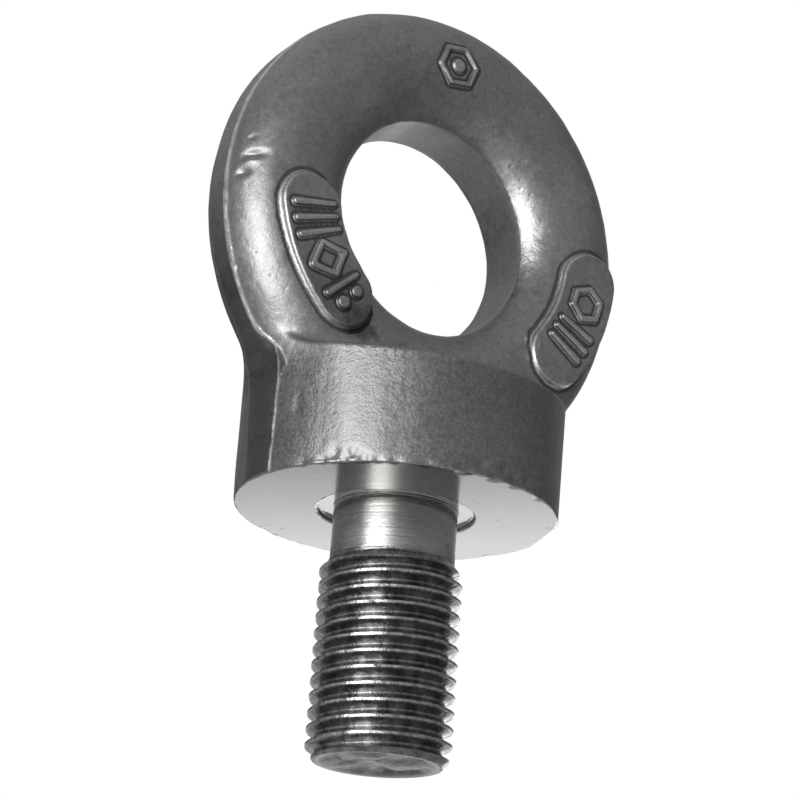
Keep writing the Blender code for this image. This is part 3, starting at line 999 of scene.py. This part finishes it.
def turned_finish():
    """Turned and threaded steel: lathe rings, worn crests and oil-dark roots."""
    mat, m, shader = new_material("turned_steel")
    mm = m.coords()
    x, y, z = m.split(mm)
    r = m.radius(x, y)
    on_thread = m.ease(z, over=(50.2, 51.6), to=(1.0, 0.0))
    end = m.ease(z, over=(0.35, 0.8), to=(1.0, 0.0))
    end *= m.ease(r, over=(15.0, 15.6), to=(1.0, 0.0))
    # squeezed along z into fine rings
    rings = m.noise(m.coords(scale=(90.0, 90.0, 3000.0)), size=1.0, detail=3.0, rough=0.6)
    patch = m.noise(mm, size=3.4, detail=3.0, rough=0.6)
    blotch = m.noise(mm, size=1.5, detail=2.0, rough=0.55)
    grain = m.noise(mm, size=0.7, detail=2.0, rough=0.6)
    # oil and dirt in the roots, rubbed off in places, and clean crests
    depth = m.ease(r, over=(15.9, 17.9))
    oil = m.ease(patch, over=(0.34, 0.66), to=(0.16, 0.40))
    crest = m.ease(blotch, over=(0.3, 0.65), to=(0.36, 0.62))
    flank = m.mix(m.ease(r, over=(17.3, 17.85)), m.spread(patch, to=(0.20, 0.30)), crest)
    thread_tone = m.mix(depth, oil, flank)
    neck_tone = m.spread(rings, to=(0.42, 0.52)) + m.spread(patch, to=(-0.03, 0.03))
    tone = m.mix(on_thread, neck_tone, thread_tone)
    # the end face: patchy middle, even brighter rim
    rim = m.ease(r, over=(13.6, 15.0))
    end_tone = m.mix(rim, m.ease(patch, over=(0.35, 0.65), to=(0.30, 0.48)), 0.62)
    tone = m.mix(end, tone, end_tone)
    m.plug(shader.inputs["Base Color"], m.steel_grey(tone))
    m.plug(shader.inputs["Metallic"], 1.0)
    rough = m.mix(on_thread, m.spread(rings, to=(0.22, 0.30)), m.spread(blotch, to=(0.20, 0.34)))
    m.plug(shader.inputs["Roughness"], m.mix(end, rough, 0.34))
    # the lathe's lay spreads each reflection across the rings
    plain = m.maximum(end, on_thread * 0.6)
    m.plug(shader.inputs["Anisotropic"], m.mix(plain, 0.6, 0.0))
    m.plug(shader.inputs["Tangent"],
           m.node("ShaderNodeTangent", direction_type="RADIAL", axis="Z"))
    ring_strength = m.remap(on_thread, over=(0.0, 1.0), to=(1.0, 0.4))
    bump = m.bump(rings, distance=0.00002, strength=ring_strength)
    bump = m.bump(grain, distance=0.00003, under=bump)
    bump = m.bump(patch, distance=0.00030, under=bump, strength=m.maximum(on_thread, end))
    m.plug(shader.inputs["Normal"], bump)
    return mat


# ---- the object ------------------------------------------------------------------------

body = forging()
body.data.materials.append(forged_finish())
screw = shank()
screw.data.materials.append(turned_finish())

for piece, slot in ((body, "forged_steel"), (screw, "machined_steel")):
    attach(piece, "root")
    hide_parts(NODE)


# ---- stage, light and camera, in metres and degrees ------------------------------------

FLOOR_Z = -0.36
FLOOR_R = 2.4
FLOOR_SIDES = 96
LIGHT_CENTRE = Vector((0.0, 0.0, 0.11))     # what the softboxes face

# softboxes: name, azimuth, elevation, distance, width, height, radiance
SOFTBOXES = (
    ("key", -65.5, -1.0, 1.10, 0.66, 0.90, 4.3),
    ("key_side", -42.0, -2.0, 1.10, 0.16, 0.80, 1.9),
    ("backdrop", 149.0, -17.0, 0.80, 0.66, 0.34, 0.47),
    ("panel", 130.0, -8.0, 0.80, 0.26, 0.22, 1.9),
)
# round glows of the room: azimuth, elevation, angle of full light, angle of none, level
GLOWS = (
    (25, 12, 15, 65, 0.20), (178, 45, 10, 60, 0.17), (-60, 75, 10, 70, 0.30),
    (105, 32, 10, 45, 0.08), (135, 22, 8, 30, 0.20), (-112, 5, 5, 32, 0.30),
    (-42, -26, 8, 45, 0.40), (-28, 4, 5, 30, 0.22),
)
ROOM_LEVEL = 0.10

CAMERA_AZIMUTH = -31.5716
CAMERA_ELEVATION = -20.0632
CAMERA_ROLL = 4.2504
CAMERA_DISTANCE = 0.601441
CAMERA_TARGET = Vector((-0.0012016, 0.0, (30.4824 + SEAT) * MM))
LENS_MM = 105.516


def toward(azimuth, elevation):
    """Unit vector at an azimuth from the front toward +X and an elevation."""
    a, e = math.radians(azimuth), math.radians(elevation)
    return Vector((math.sin(a) * math.cos(e), -math.cos(a) * math.cos(e), math.sin(e)))


def stage():
    """A round pale floor that looks evenly bright to the camera."""
    turns = [2 * math.pi * i / FLOOR_SIDES for i in range(FLOOR_SIDES)]
    verts = [(0, 0, FLOOR_Z)]
    verts += [(FLOOR_R * math.cos(a), FLOOR_R * math.sin(a), FLOOR_Z) for a in turns]
    faces = [(0, i + 1, (i + 1) % FLOOR_SIDES + 1) for i in range(FLOOR_SIDES)]
    mesh = bpy.data.meshes.new("floor")
    mesh.from_pydata(verts, [], faces)
    floor = bpy.data.objects.new("floor", mesh)
    bpy.context.scene.collection.objects.link(floor)
    mat, m, shader = new_material("pale_floor")
    shader.inputs["Base Color"].default_value = (0.72, 0.72, 0.72, 1)
    shader.inputs["Roughness"].default_value = 0.8
    glow = m.node("ShaderNodeEmission", {"Color": (0.86, 0.86, 0.86, 1)})
    surface = m.by_ray(lighting=Signal(m, shader.outputs[0]), seen=glow)
    m.plug(m.tree.nodes["Material Output"].inputs["Surface"], surface)
    mesh.materials.append(mat)


def studio():
    """A room white to the camera, softly and unevenly lit as the steel sees it."""
    world = bpy.data.worlds.new("studio")
    bpy.context.scene.world = world
    world.use_nodes = True
    m = Nodes(world.node_tree)
    m.tree.nodes.clear()
    direction = m.node("ShaderNodeTexCoord", output="Generated")
    total = None
    for azimuth, elevation, inner, outer, level in GLOWS:
        facing = m.node("ShaderNodeVectorMath", {0: direction, 1: tuple(toward(azimuth, elevation))},
                        output="Value", operation="DOT_PRODUCT")
        over = (math.cos(math.radians(outer)), math.cos(math.radians(inner)))
        glow = m.ease(facing, over=over, to=(0.0, level))
        total = glow if total is None else total + glow
    dim = m.node("ShaderNodeBackground", {"Strength": total + ROOM_LEVEL})
    white = m.node("ShaderNodeBackground", {"Color": (1, 1, 1, 1), "Strength": 1.0})
    surface = m.by_ray(lighting=dim, seen=white)
    m.plug(m.tree.nodes.new("ShaderNodeOutputWorld").inputs["Surface"], surface)


def softbox(name, azimuth, elevation, distance, width, height, radiance):
    light = bpy.data.lights.new(name, "AREA")
    light.shape = "RECTANGLE"
    light.size = width
    light.size_y = height
    light.energy = radiance * math.pi * width * height
    obj = bpy.data.objects.new(name, light)
    bpy.context.scene.collection.objects.link(obj)
    direction = toward(azimuth, elevation)
    obj.location = LIGHT_CENTRE + direction * distance
    obj.rotation_euler = direction.to_track_quat("Z", "Y").to_euler()
    obj.visible_camera = False


def camera():
    back = toward(CAMERA_AZIMUTH, CAMERA_ELEVATION)
    roll = math.radians(CAMERA_ROLL)
    level = (-back).cross(Vector((0, 0, 1))).normalized()
    upright = level.cross(-back)
    right = level * math.cos(roll) + upright * math.sin(roll)
    up = -level * math.sin(roll) + upright * math.cos(roll)
    data = bpy.data.cameras.new("camera")
    data.lens = LENS_MM
    data.sensor_width = 36.0
    data.sensor_fit = "HORIZONTAL"
    data.clip_start = 0.01
    data.clip_end = 50.0
    cam = bpy.data.objects.new("camera", data)
    bpy.context.scene.collection.objects.link(cam)
    place = CAMERA_TARGET + back * CAMERA_DISTANCE
    rows = [(right[i], up[i], back[i], place[i]) for i in range(3)]
    cam.matrix_world = Matrix((*rows, (0, 0, 0, 1)))
    bpy.context.scene.camera = cam


stage()
studio()
for box in SOFTBOXES:
    softbox(*box)
camera()
bpy.context.scene.view_settings.view_transform = "Standard"
